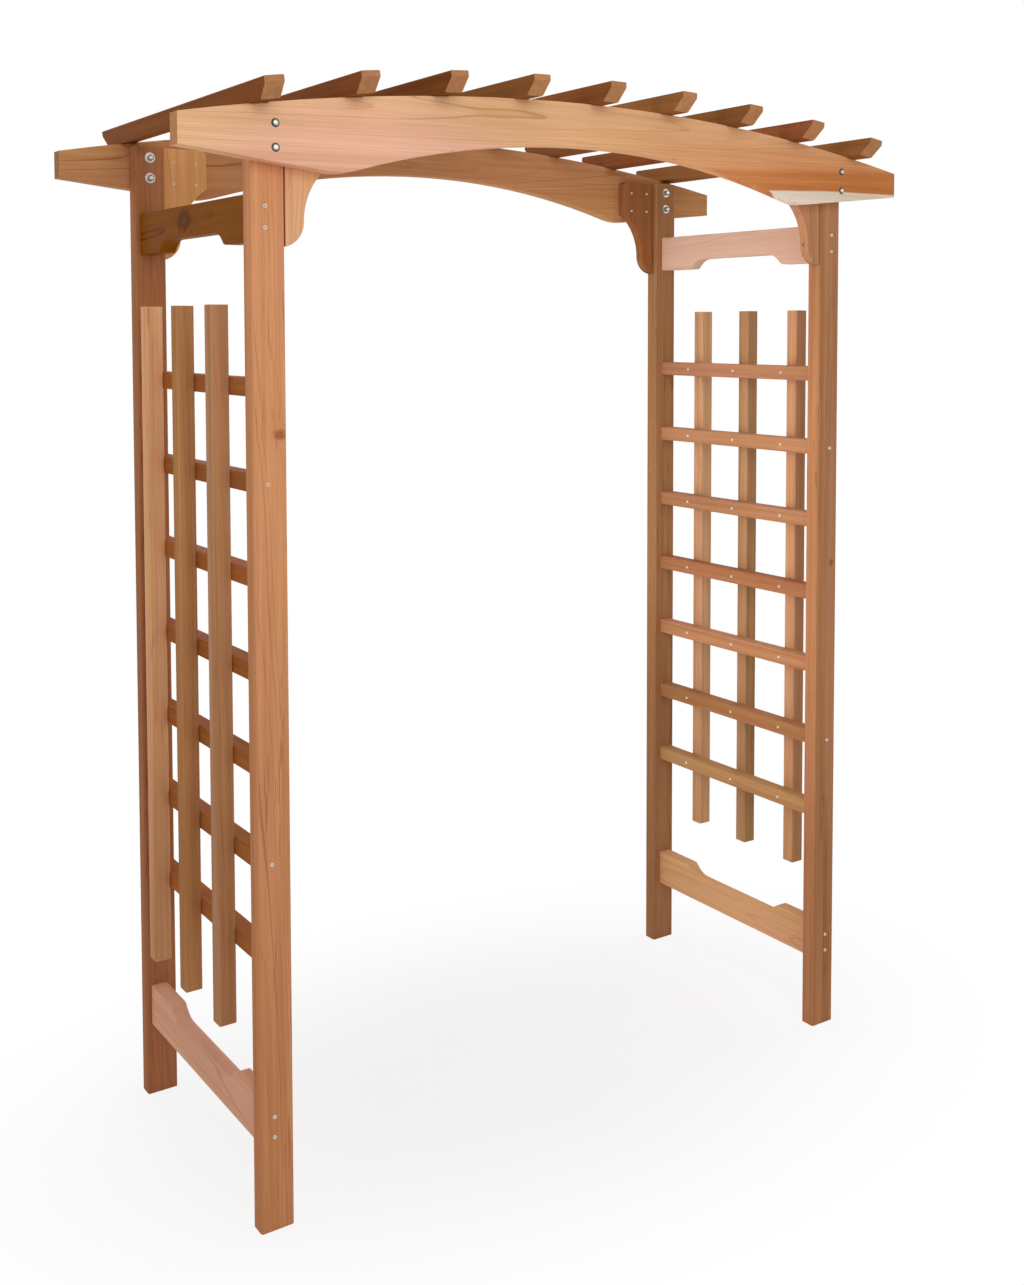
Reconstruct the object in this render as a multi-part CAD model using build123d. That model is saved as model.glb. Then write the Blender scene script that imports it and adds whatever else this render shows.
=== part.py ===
from build123d import *
from math import asin, cos, degrees, radians, sin, sqrt
import os

# Garden arbor of cedar boards: four posts, two arched beams, nine roof slats, four scrolled
# corner brackets and, on each side, two shaped rails and a trellis panel.
# Millimetres. The origin is on the ground, at the centre between the posts.
# X runs along the arched beams, Y from the front to the back, Z up.

# Overall sizes
overall_height = 2209.8
clear_width = 1371.6
clear_depth = 584.2

# Posts
post_width = 66.675
post_depth = 38.1
post_edge_round = 5.0
post_top_drop = 9.5

# Arched beams: one arc on top, a flatter arch underneath, and a knee beside each post
beam_length = 1803.4
beam_thickness = 38.1
beam_crown_depth = 88.9
beam_rise = 87.6
beam_end_depth = 57.2
knee_drop = 33.8
knee_inset = 101.6
knee_round = 150.0
beam_edge_round = 2.5

# Roof slats: square sticks that follow the beams' curve, undercut at both ends
slat_count = 9
slat_length = 889.0
slat_width = 38.1
slat_height = 38.1
slat_spacing = 187.2
slat_nose_height = 11.4
slat_undercut_run = 29.0
slat_edge_chamfer = 1.6

# Corner brackets between a post and the beam
bracket_width = 100.0
bracket_drop = 243.8
bracket_thickness = 25.4
bracket_straight_drop = 85.0
bracket_waist_width = 39.4
bracket_waist_drop = 196.9
bracket_corner_round = 12.0
bracket_edge_round = 2.5

# Side rails, between the front and the rear post
side_member_thickness = 35.0
side_member_setback = 10.0
rail_height = 88.9
rail_lug_length = 112.0
rail_relief = 25.4
rail_shoulder_radius = 15.0
rail_cove_radius = 60.0
rail_edge_round = 3.0
upper_rail_top_gap = 146.0
lower_rail_foot_gap = 157.5

# Trellis panels
trellis_stick = 35.0
trellis_edge_chamfer = 2.0
trellis_rail_count = 7
trellis_first_rail_drop = 154.6
trellis_last_rail_rise = 171.4
fixed_rail_margin_count = 1
upright_count = 3
upright_spacing = 179.0
upright_top_gap = 113.9
upright_foot_gap = 109.2

# Carriage bolts, washers and nuts
bolt_diameter = 7.9
bolt_length = 88.9
bolt_head_diameter = 19.0
bolt_head_height = 4.4
bolt_neck_depth = 4.0
bolt_spacing = 44.0
bolt_top_gap = 24.0
bolt_clearance = 0.2
washer_diameter = 22.2
washer_thickness = 1.6
nut_across_flats = 12.7
nut_height = 6.7

# Wood screws: shank, head and pilot fit
screw_diameter = 4.2
screw_clearance = 0.1
screw_tip_length = 5.0
pilot_end_room = 1.0
rail_screw_length = 76.2
rail_screw_head_diameter = 10.0
rail_screw_head_height = 2.6
rail_screw_spacing = 39.4
trellis_screw_length = 63.5
trellis_screw_head_diameter = 8.4
trellis_screw_head_height = 2.2
bracket_screw_length = 50.8
bracket_screw_edge_gap = 24.0
bracket_screw_spacing = 51.5
bracket_screw_top_gap = 29.0
bracket_screw_drop = 47.5
bracket_edge_screw_length = 57.0
bracket_edge_screw_sink = 6.0
slat_screw_length = 63.5
slat_screw_head_diameter = 9.0
slat_screw_countersink = 3.6

# How much smaller the flat top of a pan head is than its foot
pan_top_share = 0.62
cut_overrun = 5.0

# Places that follow from the sizes above
post_inner_x = clear_width / 2
post_outer_x = post_inner_x + post_width
post_centre_x = (post_inner_x + post_outer_x) / 2
post_inner_y = clear_depth / 2
post_outer_y = post_inner_y + post_depth
post_centre_y = (post_inner_y + post_outer_y) / 2
beam_outer_y = post_outer_y + beam_thickness
beam_centre_y = (post_outer_y + beam_outer_y) / 2
beam_half = beam_length / 2
beam_crown_z = overall_height - slat_height
arch_crown_z = beam_crown_z - beam_crown_depth
beam_end_top_z = beam_crown_z - beam_rise
beam_end_bottom_z = beam_end_top_z - beam_end_depth
beam_radius = (beam_half**2 + beam_rise**2) / (2 * beam_rise)
knee_x = post_inner_x - knee_inset
knee_z = beam_end_bottom_z - knee_drop


def beam_top_z(x):
    """Height of the beams' top edge at a place along X."""
    return beam_crown_z - beam_radius + sqrt(beam_radius**2 - x**2)


post_height = beam_top_z(post_outer_x) - post_top_drop
bolt_heights = (post_height - bolt_top_gap, post_height - bolt_top_gap - bolt_spacing)
side_outer_x = post_outer_x - side_member_setback
side_inner_x = side_outer_x - side_member_thickness
side_centre_x = (side_outer_x + side_inner_x) / 2
upper_rail_centre_z = post_height - upper_rail_top_gap - rail_height / 2
lower_rail_centre_z = lower_rail_foot_gap + rail_height / 2
bracket_centre_y = post_outer_y - bracket_thickness / 2
bracket_inner_y = post_outer_y - bracket_thickness
bracket_waist_z = post_height - bracket_waist_drop
slat_places = [(i - (slat_count - 1) / 2) * slat_spacing for i in range(slat_count)]
upright_top_z = upper_rail_centre_z - rail_height / 2 - upright_top_gap
upright_foot_z = lower_rail_centre_z + rail_height / 2 + upright_foot_gap
upright_length = upright_top_z - upright_foot_z
trellis_first_z = upright_top_z - trellis_first_rail_drop
trellis_last_z = upright_foot_z + trellis_last_rail_rise
trellis_rail_spacing = (trellis_first_z - trellis_last_z) / (trellis_rail_count - 1)
trellis_rail_heights = [trellis_first_z - i * trellis_rail_spacing for i in range(trellis_rail_count)]
upright_places = [(i - (upright_count - 1) / 2) * upright_spacing for i in range(upright_count)]
fixed_rail_heights = [trellis_rail_heights[fixed_rail_margin_count],
                      trellis_rail_heights[-1 - fixed_rail_margin_count]]

SIDES = {"left": -1, "right": 1}
ENDS = {"front": -1, "rear": 1}
BOTTOM = (Align.CENTER, Align.CENTER, Align.MIN)


def frame_at(start, direction):
    """Plane at a point, with its Z along a direction."""
    return Plane(origin=start, z_dir=direction)


def drill(start, direction, length, diameter):
    """Round cutter from just before a point, along a direction."""
    cutter = Pos(0, 0, -cut_overrun) * Cylinder(diameter / 2, length + cut_overrun, align=BOTTOM)
    return frame_at(start, direction) * cutter


def pilot(start, direction, screw_length):
    """Blind hole for a screw driven from a point on the surface."""
    return drill(start, direction, screw_length + pilot_end_room, screw_diameter + 2 * screw_clearance)


def turned(points):
    """Solid of revolution about Z from an outline in the XZ plane."""
    return revolve(Plane.XZ * make_face(Polyline(*points, close=True)), Axis.Z)


def pan_screw(start, direction, length, head_diameter, head_height):
    """Wood screw with a pan head that sits on the surface at a point."""
    shank = screw_diameter / 2
    head = head_diameter / 2
    outline = [
        (0, -head_height),
        (head * pan_top_share, -head_height),
        (head, 0),
        (shank, 0),
        (shank, length - screw_tip_length),
        (0, length),
    ]
    return frame_at(start, direction) * turned(outline)


def flat_screw(start, direction, length, head_diameter, countersink):
    """Wood screw with a flat head, flush with the surface at a point."""
    shank = screw_diameter / 2
    outline = [
        (0, 0),
        (head_diameter / 2, 0),
        (shank, countersink),
        (shank, length - screw_tip_length),
        (0, length),
    ]
    return frame_at(start, direction) * turned(outline)


def countersunk_hole(start, direction, length):
    """Pilot hole with the cone that a flat head sits in."""
    wide = slat_screw_head_diameter / 2 + screw_clearance
    narrow = screw_diameter / 2 + screw_clearance
    cone = Cone(wide, narrow, slat_screw_countersink, align=BOTTOM)
    return frame_at(start, direction) * cone + pilot(start, direction, length)


def rounded_stick(size_x, size_y, size_z, axis, radius):
    """Bar with its long edges rounded over."""
    bar = Box(size_x, size_y, size_z)
    return fillet(bar.edges().filter_by(axis), radius)


def chamfered_stick(size_x, size_y, size_z, axis, width):
    """Bar with its long edges eased by a small chamfer."""
    bar = Box(size_x, size_y, size_z)
    return chamfer(bar.edges().filter_by(axis), width)


def bolt_starts(side, end):
    """Where the two bolts of a corner enter the beam's outer face."""
    return [(side * post_centre_x, end * beam_outer_y, z) for z in bolt_heights]


def rail_screw_starts(side, end):
    """Where the screws of the two shaped rails enter a post's outer face."""
    heights = []
    for centre in (upper_rail_centre_z, lower_rail_centre_z):
        heights += [centre + rail_screw_spacing / 2, centre - rail_screw_spacing / 2]
    return [(side * side_centre_x, end * post_outer_y, z) for z in heights]


def trellis_post_starts(side, end):
    """Where the screws of the two fixed trellis rails enter a post's outer face."""
    return [(side * side_centre_x, end * post_outer_y, z) for z in fixed_rail_heights]


def crossing_starts(side, height):
    """Where the crossing screws enter the inner face of one trellis rail."""
    return [(side * side_inner_x, y, height) for y in upright_places]


def bracket_face_starts(side, end):
    """Where the four screws enter a bracket's inner face."""
    starts = []
    for column in range(2):
        x = post_inner_x - bracket_screw_edge_gap - column * bracket_screw_spacing
        for row in range(2):
            z = post_height - bracket_screw_top_gap - row * bracket_screw_drop
            starts.append((side * x, end * bracket_inner_y, z))
    return starts


def bracket_edge_start(side, end):
    """Floor of the counterbore in a bracket's curved edge."""
    x = post_inner_x - bracket_waist_width + bracket_edge_screw_sink
    return (side * x, end * bracket_centre_y, bracket_waist_z)


def slat_screw_frame(x, end):
    """Start and direction of the screw through a roof slat into a beam."""
    turn = asin(x / beam_radius)
    direction = (-sin(turn), 0, -cos(turn))
    top_x = x + slat_height * sin(turn)
    top_z = beam_top_z(x) + slat_height * cos(turn)
    return (top_x, end * beam_centre_y, top_z), direction


def make_post(side, end):
    """Post with rounded long edges, drilled for everything that it carries."""
    post = rounded_stick(post_width, post_depth, post_height, Axis.Z, post_edge_round)
    post = Pos(side * post_centre_x, end * post_centre_y, post_height / 2) * post
    inward = (0, -end, 0)
    cutters = []
    for start in bolt_starts(side, end):
        cutters.append(drill(start, inward, bolt_length, bolt_diameter + 2 * bolt_clearance))
    for start in rail_screw_starts(side, end):
        cutters.append(pilot(start, inward, rail_screw_length))
    for start in trellis_post_starts(side, end):
        cutters.append(pilot(start, inward, rail_screw_length))
    edge_start = bracket_edge_start(side, end)
    cutters.append(pilot(edge_start, (side, 0, 0), bracket_edge_screw_length))
    return post - cutters


def beam_outline():
    """Face of an arched beam in the XZ plane."""
    top = ThreePointArc((-beam_half, beam_end_top_z), (0, beam_crown_z), (beam_half, beam_end_top_z))
    right = Polyline((beam_half, beam_end_top_z), (beam_half, beam_end_bottom_z), (knee_x, knee_z))
    arch = ThreePointArc((knee_x, knee_z), (0, arch_crown_z), (-knee_x, knee_z))
    left = Polyline((-knee_x, knee_z), (-beam_half, beam_end_bottom_z), (-beam_half, beam_end_top_z))
    face = make_face([top, right, arch, left])
    knees = face.vertices().sort_by(Axis.Y)[:2]
    return fillet(knees, knee_round)


def make_beam(end):
    """Arched beam on the outer faces of the posts of one end."""
    board = extrude(Plane.XZ * beam_outline(), beam_thickness / 2, both=True)
    big_faces = board.faces().sort_by(Axis.Y)
    rims = big_faces[0].edges() + big_faces[-1].edges()
    board = Pos(0, end * beam_centre_y, 0) * fillet(rims, beam_edge_round)
    cutters = []
    neck = bolt_diameter + 2 * bolt_clearance
    for side in SIDES.values():
        for start in bolt_starts(side, end):
            cutters.append(drill(start, (0, -end, 0), bolt_length, neck))
            pocket = Box(neck, neck, bolt_neck_depth + bolt_clearance, align=BOTTOM)
            cutters.append(frame_at(start, (0, -end, 0)) * pocket)
        for start in bracket_face_starts(side, end):
            cutters.append(pilot(start, (0, end, 0), bracket_screw_length))
    for x in slat_places:
        start, direction = slat_screw_frame(x, end)
        cutters.append(pilot(start, direction, slat_screw_length))
    return board - cutters


def slat_side_outline():
    """Side view of a roof slat, with Y along X and the height along Y."""
    half = slat_length / 2
    nose = slat_height - slat_nose_height
    corners = [
        (-half, slat_height),
        (half, slat_height),
        (half, nose),
        (half - slat_undercut_run, 0),
        (slat_undercut_run - half, 0),
        (-half, nose),
    ]
    return make_face(Polyline(*corners, close=True))


def make_slat(x):
    """Roof slat, seated square on the beams' curve."""
    slat = extrude(Plane.YZ * slat_side_outline(), slat_width / 2, both=True)
    slat = chamfer(slat.edges().filter_by(Axis.Y), slat_edge_chamfer)
    turn = asin(x / beam_radius)
    slat = Pos(x, 0, beam_top_z(x)) * Rot(0, degrees(turn), 0) * slat
    cutters = []
    for end in ENDS.values():
        start, direction = slat_screw_frame(x, end)
        cutters.append(countersunk_hole(start, direction, slat_screw_length))
    return slat - cutters


def bracket_outline():
    """Bracket of the right side in the XZ plane, against a post's inner face."""
    edge_x = post_inner_x - bracket_width
    waist = (post_inner_x - bracket_waist_width, bracket_waist_z)
    tip = (post_inner_x, post_height - bracket_drop)
    shoulder = (edge_x, post_height - bracket_straight_drop)
    lobe = TangentArc(waist, tip, tangent=(0, -1))
    cove = TangentArc(waist, shoulder, tangent=(0, 1))
    rest = Polyline(shoulder, (edge_x, post_height), (post_inner_x, post_height), tip)
    face = make_face([lobe, cove, rest])
    corner = face.vertices().sort_by_distance((edge_x, post_height))[0]
    return fillet(corner, bracket_corner_round)


def make_bracket(side, end):
    """Scrolled corner bracket, flush with the post's outer face."""
    board = extrude(Plane.XZ * bracket_outline(), bracket_thickness / 2, both=True)
    rims = board.faces().sort_by(Axis.Y)[0].edges() + board.faces().sort_by(Axis.Y)[-1].edges()
    shown = rims.filter_by(lambda edge: abs(edge.center().X - post_inner_x) > bracket_edge_round)
    board = fillet(shown, bracket_edge_round)
    if side < 0:
        board = mirror(board, Plane.YZ)
    board = Pos(0, end * bracket_centre_y, 0) * board
    cutters = []
    for start in bracket_face_starts(side, end):
        cutters.append(pilot(start, (0, end, 0), bracket_screw_length))
    edge_start = bracket_edge_start(side, end)
    counterbore = trellis_screw_head_diameter + 2 * screw_clearance
    sink = frame_at(edge_start, (-side, 0, 0))
    cutters.append(sink * Cylinder(counterbore / 2, bracket_waist_width, align=BOTTOM))
    cutters.append(pilot(edge_start, (side, 0, 0), bracket_edge_screw_length))
    return board - cutters


def shaped_rail():
    """Side rail along Y with its lower edge relieved between two ogees."""
    half = clear_depth / 2
    low = -rail_height / 2
    lug = half - rail_lug_length
    reach = rail_shoulder_radius + rail_cove_radius
    turn_cos = 1 - rail_relief / reach
    turn_sin = sqrt(1 - turn_cos**2)
    join_run = rail_shoulder_radius * turn_sin
    join_rise = rail_shoulder_radius * (1 - turn_cos)
    lines = [Line((-half, -low), (half, -low))]
    for hand in (-1, 1):
        foot = (hand * lug, low)
        join = (hand * (lug - join_run), low + join_rise)
        crest = (hand * (lug - reach * turn_sin), low + rail_relief)
        lines.append(Polyline((hand * half, -low), (hand * half, low), foot))
        lines.append(TangentArc(foot, join, tangent=(-hand, 0)))
        lines.append(TangentArc(crest, join, tangent=(hand, 0)))
        lines.append(Line(crest, (0, low + rail_relief)))
    board = extrude(Plane.YZ * make_face(lines), side_member_thickness / 2, both=True)
    big_faces = board.faces().sort_by(Axis.X)
    rims = big_faces[0].edges() + big_faces[-1].edges()
    long_rims = rims.filter_by(lambda edge: abs(edge.center().Y) < half - rail_edge_round)
    return fillet(long_rims, rail_edge_round)


def end_pilots(side, starts):
    """Pilot holes that come through the posts into a member's two ends."""
    return [pilot(start, (0, -end, 0), rail_screw_length) for end, start in starts]


def make_shaped_rail(side, centre_z, relief_up):
    """Upper rail, relieved below, or lower rail, relieved on top."""
    rail = shaped_rail()
    if relief_up:
        rail = mirror(rail, Plane.XY)
    rail = Pos(side * side_centre_x, 0, centre_z) * rail
    starts = []
    for end in ENDS.values():
        for start in rail_screw_starts(side, end):
            if abs(start[2] - centre_z) < rail_height / 2:
                starts.append((end, start))
    return rail - end_pilots(side, starts)


def make_trellis_rail(side, number):
    """Level trellis rail between the posts, drilled at each crossing."""
    height = trellis_rail_heights[number - 1]
    rail = chamfered_stick(side_member_thickness, clear_depth, trellis_stick, Axis.Y, trellis_edge_chamfer)
    rail = Pos(side * side_centre_x, 0, height) * rail
    cutters = [pilot(start, (side, 0, 0), trellis_screw_length) for start in crossing_starts(side, height)]
    starts = [(end, start) for end in ENDS.values() for start in trellis_post_starts(side, end)]
    cutters += end_pilots(side, [(end, start) for end, start in starts if start[2] == height])
    return rail - cutters


def make_upright(side, y):
    """Trellis upright on the outer face of the rails."""
    stick = chamfered_stick(trellis_stick, trellis_stick, upright_length, Axis.Z, trellis_edge_chamfer)
    x = side * (side_outer_x + trellis_stick / 2)
    stick = Pos(x, y, upright_top_z - upright_length / 2) * stick
    cutters = []
    for height in trellis_rail_heights:
        cutters.append(pilot((side * side_inner_x, y, height), (side, 0, 0), trellis_screw_length))
    return stick - cutters


def make_bolt(start, end):
    """Carriage bolt with a domed head, a square neck and a plain shank."""
    radius = bolt_head_diameter / 2
    dome = (radius**2 + bolt_head_height**2) / (2 * bolt_head_height)
    cap = Pos(0, 0, dome - bolt_head_height) * Sphere(dome)
    cap -= Box(4 * dome, 4 * dome, 4 * dome, align=BOTTOM)
    neck = Box(bolt_diameter, bolt_diameter, bolt_neck_depth, align=BOTTOM)
    shank = Cylinder(bolt_diameter / 2, bolt_length, align=BOTTOM)
    return frame_at(start, (0, -end, 0)) * (cap + neck + shank)


def bolt_ring(start, end, outer, depth, thickness):
    """Part with the bolt's bore, at a depth below the bolt's head."""
    ring = Pos(0, 0, depth) * extrude(outer, thickness)
    bore = Cylinder(bolt_diameter / 2 + bolt_clearance, bolt_length + cut_overrun, align=BOTTOM)
    return frame_at(start, (0, -end, 0)) * (ring - bore)


def make_bolt_sets():
    """Bolts, washers and nuts of the four corners."""
    bolts, washers, nuts = [], [], []
    grip = beam_thickness + post_depth
    for side in SIDES.values():
        for end in ENDS.values():
            for start in bolt_starts(side, end):
                bolts.append(make_bolt(start, end))
                washers.append(bolt_ring(start, end, Circle(washer_diameter / 2), grip, washer_thickness))
                hexagon = RegularPolygon(nut_across_flats / 2, 6, major_radius=False)
                nuts.append(bolt_ring(start, end, hexagon, grip + washer_thickness, nut_height))
    return bolts, washers, nuts


def make_corner_screws():
    """Screws of the rails, the fixed trellis rails and the brackets."""
    rails, trellis, faces, edges = [], [], [], []
    pan = (rail_screw_length, rail_screw_head_diameter, rail_screw_head_height)
    small = (trellis_screw_head_diameter, trellis_screw_head_height)
    for side in SIDES.values():
        for end in ENDS.values():
            rails += [pan_screw(start, (0, -end, 0), *pan) for start in rail_screw_starts(side, end)]
            trellis += [pan_screw(start, (0, -end, 0), *pan) for start in trellis_post_starts(side, end)]
            for start in bracket_face_starts(side, end):
                faces.append(pan_screw(start, (0, end, 0), bracket_screw_length, *small))
            start = bracket_edge_start(side, end)
            edges.append(pan_screw(start, (side, 0, 0), bracket_edge_screw_length, *small))
    return rails, trellis, faces, edges


def make_crossing_screws():
    """Screws from the trellis rails' inner faces into the uprights."""
    small = (trellis_screw_length, trellis_screw_head_diameter, trellis_screw_head_height)
    screws = []
    for side in SIDES.values():
        for height in trellis_rail_heights:
            screws += [pan_screw(start, (side, 0, 0), *small) for start in crossing_starts(side, height)]
    return screws


def make_slat_screws():
    """Flat-headed screws from the tops of the roof slats into the beams."""
    screws = []
    for x in slat_places:
        for end in ENDS.values():
            start, direction = slat_screw_frame(x, end)
            flat = (slat_screw_length, slat_screw_head_diameter, slat_screw_countersink)
            screws.append(flat_screw(start, direction, *flat))
    return screws


def save(name, shape):
    """Writes one node; a list becomes a group of separate solids."""
    if isinstance(shape, list):
        shape = Compound(children=[Solid(piece.solid().wrapped) for piece in shape])
    export_step(shape, os.path.join("parts", name + ".step"))


def build():
    """Makes every node of the arbor."""
    os.makedirs("parts", exist_ok=True)
    for end_name, end in ENDS.items():
        save("arch_beam_" + end_name, make_beam(end))
    for i, x in enumerate(slat_places):
        save(f"roof_slat_{i + 1}", make_slat(x))
    for side_name, side in SIDES.items():
        for end_name, end in ENDS.items():
            save(f"post_{end_name}_{side_name}", make_post(side, end))
            save(f"corner_bracket_{end_name}_{side_name}", make_bracket(side, end))
        save("upper_rail_" + side_name, make_shaped_rail(side, upper_rail_centre_z, False))
        save("lower_rail_" + side_name, make_shaped_rail(side, lower_rail_centre_z, True))
        for number in range(1, trellis_rail_count + 1):
            save(f"trellis_rail_{side_name}_{number}", make_trellis_rail(side, number))
        for i, y in enumerate(upright_places):
            save(f"trellis_upright_{side_name}_{i + 1}", make_upright(side, y))
    bolts, washers, nuts = make_bolt_sets()
    save("carriage_bolts", bolts)
    save("bolt_washers", washers)
    save("hex_nuts", nuts)
    rails, trellis, faces, edges = make_corner_screws()
    save("rail_screws", rails)
    save("trellis_post_screws", trellis)
    save("bracket_face_screws", faces)
    save("bracket_edge_screws", edges)
    save("trellis_crossing_screws", make_crossing_screws())
    save("roof_slat_screws", make_slat_screws())


build()
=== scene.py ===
import math
import random

import bmesh
import bpy
import numpy as np
from mathutils import Euler, Matrix, Vector


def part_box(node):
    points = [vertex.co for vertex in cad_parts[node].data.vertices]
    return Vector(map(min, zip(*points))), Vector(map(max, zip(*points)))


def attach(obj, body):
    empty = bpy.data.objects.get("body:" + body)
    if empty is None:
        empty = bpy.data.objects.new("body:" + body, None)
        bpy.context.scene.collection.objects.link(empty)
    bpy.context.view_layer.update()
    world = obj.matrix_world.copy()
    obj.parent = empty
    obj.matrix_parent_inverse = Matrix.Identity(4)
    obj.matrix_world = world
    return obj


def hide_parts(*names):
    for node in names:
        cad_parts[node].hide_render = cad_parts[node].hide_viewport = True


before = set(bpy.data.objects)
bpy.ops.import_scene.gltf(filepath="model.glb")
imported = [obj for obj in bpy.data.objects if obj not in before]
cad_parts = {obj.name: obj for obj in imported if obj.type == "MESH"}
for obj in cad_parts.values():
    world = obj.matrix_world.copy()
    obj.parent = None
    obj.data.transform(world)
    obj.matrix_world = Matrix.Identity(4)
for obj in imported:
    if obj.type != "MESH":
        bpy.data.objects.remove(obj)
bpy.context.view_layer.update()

# A cedar garden arbor in a plain white studio. Lengths are in metres.
# X runs along the arched beams, Y from the front to the back, Z up.
# A colour of three numbers is written as it looks, from 0 to 255. One of four is in linear light.

# Photograph's frame in pixels, and the camera that took it
PHOTO_WIDTH = 1024
PHOTO_HEIGHT = 1285
SENSOR_WIDTH = 36.0
CAMERA_PLACE = Vector((-1.8213, -2.8455, 1.7059))
CAMERA_YAW = math.radians(35.15)
CAMERA_TILT_DOWN = math.radians(3.0)
FOCAL_PIXELS = 1463.2
AXIS_COLUMN = 566.7
AXIS_ROW = 405.8

# Studio
WHITE = (1.0, 1.0, 1.0, 1.0)
AMBIENT_LEVEL = 0.45
FLOOR_SIZE = 40.0
FLOOR_WHITE = 0.93
FLOOR_GLOW_NEAR = 0.70
FLOOR_FADE_START = 0.20
FLOOR_FADE_END = 1.20
FLOOR_FADE_SHAPE = (0.8, 1.2, 0.0)

# Softboxes: place, point that each faces, width, height, watts and spread in degrees
SOFTBOXES = {
    "front_key": ((-0.95, -3.0, 2.7), (-0.3, 0.0, 1.6), 1.8, 1.8, 28.0, 180),
    "inner_fill": ((-0.40, -0.20, 1.25), (0.8, -0.1, 1.2), 0.5, 1.5, 3.6, 105),
    "rear_fill": ((-0.4, 3.7, 3.0), (0.0, 0.0, 1.6), 2.4, 2.0, 27.0, 180),
    "right_fill": ((4.0, 0.3, 2.6), (0.0, 0.0, 1.4), 2.4, 2.0, 27.0, 180),
    "left_fill": ((-4.0, 0.6, 2.4), (0.0, 0.0, 1.4), 2.4, 2.0, 9.5, 180),
    "overhead": ((0.2, 0.1, 4.6), (0.0, 0.0, 1.0), 2.6, 2.6, 16.0, 180),
}

# Middle of the values that a noise gives
NOISE_MEAN = 0.5

# Year rings: how far they wander, waves per metre across and along the board or per ring,
# parts of a year, and how far the seed of a board moves each pattern
SEED_STEP = (17.3, 5.1, 9.7)
WANDER = 0.014
SLOW_WAVES = (7.0, 7.0, 1.6)
QUICK_WAVES = (34.0, 34.0, 6.0)
QUICK_SHARE = 0.22
UNEVEN_RATE = 0.21
UNEVEN_YEARS = 2.4
LATE_WOOD_FULL = 0.965
LATE_WOOD_ENDS = 0.97
FAINTEST_RING = 0.18
RING_SEED, BAND_SEED, PINK_SEED = 7.0, 3.0, 11.0
BAND_RATE = 0.085
BAND_FADE = (0.34, 0.66)
PINK_RATE = 0.11
PINK_FADE = (0.42, 0.62)

# Fibre: how far the seed moves it, and waves per metre across and along the board
FIBRE_SEED_STEP = (3.1, 12.7, 6.9)
STREAK_WAVES = (95.0, 95.0, 1.7)
FIBRE_WAVES = (700.0, 700.0, 11.0)
FLECK_WAVES = (420.0, 420.0, 13.0)
CLUSTER_WAVES = (22.0, 22.0, 2.6)
DRIFT_WAVES = (4.0, 4.0, 2.2)
FLECK_FADE = (0.64, 0.74)
CLUSTER_FADE = (0.52, 0.66)

# Knots: waves per metre of the outline, then shares of the knot's size
KNOT_WAVES = 90.0
KNOT_WOBBLE = 0.7
KNOT_CORE_EDGE = (0.60, 1.05)
KNOT_HEART = (0.1, 0.9)
KNOT_HEART_COVER = 0.72
KNOT_RIM_START = (0.55, 0.95)
KNOT_RIM_END = (1.02, 1.9)
KNOT_LIFT = 1.6
KNOT_LIFT_FALL = -0.16
LEAST_KNOT = 0.0001

# What a board's own colour is multiplied by, with a painted highlight and painted shades among them
PALE_BAND = (1.07, 1.08, 1.06, 1.0)
DEEP_BAND = (0.92, 0.85, 0.74, 1.0)
PINK_BAND = (1.01, 0.94, 1.20, 1.0)
OLD_HEARTWOOD = (0.78, 0.48, 0.29, 1.0)
RING_LINE = (0.60, 0.40, 0.29, 1.0)
DARK_FLECK = (0.42, 0.28, 0.20, 1.0)
STREAK_WARMTH = (1.06, 0.92, 0.74, 1.0)
KNOT_RIM = (0.62, 0.44, 0.27, 1.0)
# Painted highlight along the eased edges of the boards
PAINTED_EDGE_HIGHLIGHT = (1.30, 1.26, 1.20, 1.0)
# Painted shade in the crease between a bracket and its post
JOINT_SHADE = (0.34, 0.24, 0.18, 1.0)
# Painted shade towards the feet of upright boards
PAINTED_FOOT_SHADE = (0.62, 0.56, 0.50, 1.0)

# Colours of their own
SAPWOOD = (255, 238, 218)
KNOT_WOOD = (104, 58, 12)

# Surface of the oiled wood
FIBRE_CONTRAST = 0.24
DRIFT_CONTRAST = 0.30
HOLLOW_WARMTH = 2.4
END_GRAIN_COVER = 0.85
END_GRAIN_FADE = 0.18
END_DARKER = 0.14
OIL_ROUGHNESS = 0.44
FIBRE_ROUGHNESS = 0.16
LINE_POLISH = -0.06
END_ROUGHNESS = 0.22
LATE_WOOD_RELIEF = 0.35
FLECK_RELIEF = 0.5
FIBRE_DEPTH = 0.0003
FIBRE_BUMP = 0.6
OIL_SPECULAR = 0.02

# Painted highlight along the edges, painted shade along the joints, and painted shade towards the feet of
# the boards
EDGE_HIGHLIGHT_WIDTH = 0.0018
EDGE_HIGHLIGHT_WAVES = 60.0
JOINT_WIDTH = 0.0022
JOINT_CORE = 0.4
# Painted shade: upright boards grow darker from the top height down to the bottom one, by a strength per
# board
FOOT_SHADE_TOP = 1.45
FOOT_SHADE_BOTTOM = 0.45
FOOT_SHADE_USUAL = 0.25
FOOT_SHADE_STRENGTH = {"trellis_upright_left_3": 0.95, "trellis_upright_left_1": 0.40, "post_front_left": 0.20}

# Share of a pink patch's reach at full strength
BLUSH_CORE = 0.45

# Figure of a cut that doesn't give its own: strengths, late wood's share of a year, where end grain
# starts, its tone, the radius where sapwood starts, and a pink patch
USUAL_FIGURE = {"pink": 0.5, "flecks": 0.0, "late": 0.18, "end_from": 0.72}
USUAL_FIGURE.update({"end_tone": None, "sapwood": None, "blush": None})

# How boards of one kind differ: shares of the pith's place and lean, and the range of their seeds
PITH_VARIES = (0.75, 1.25)
LEAN_VARIES = (0.5, 1.3)
SEED_RANGE = (0.0, 9.0)

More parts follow.
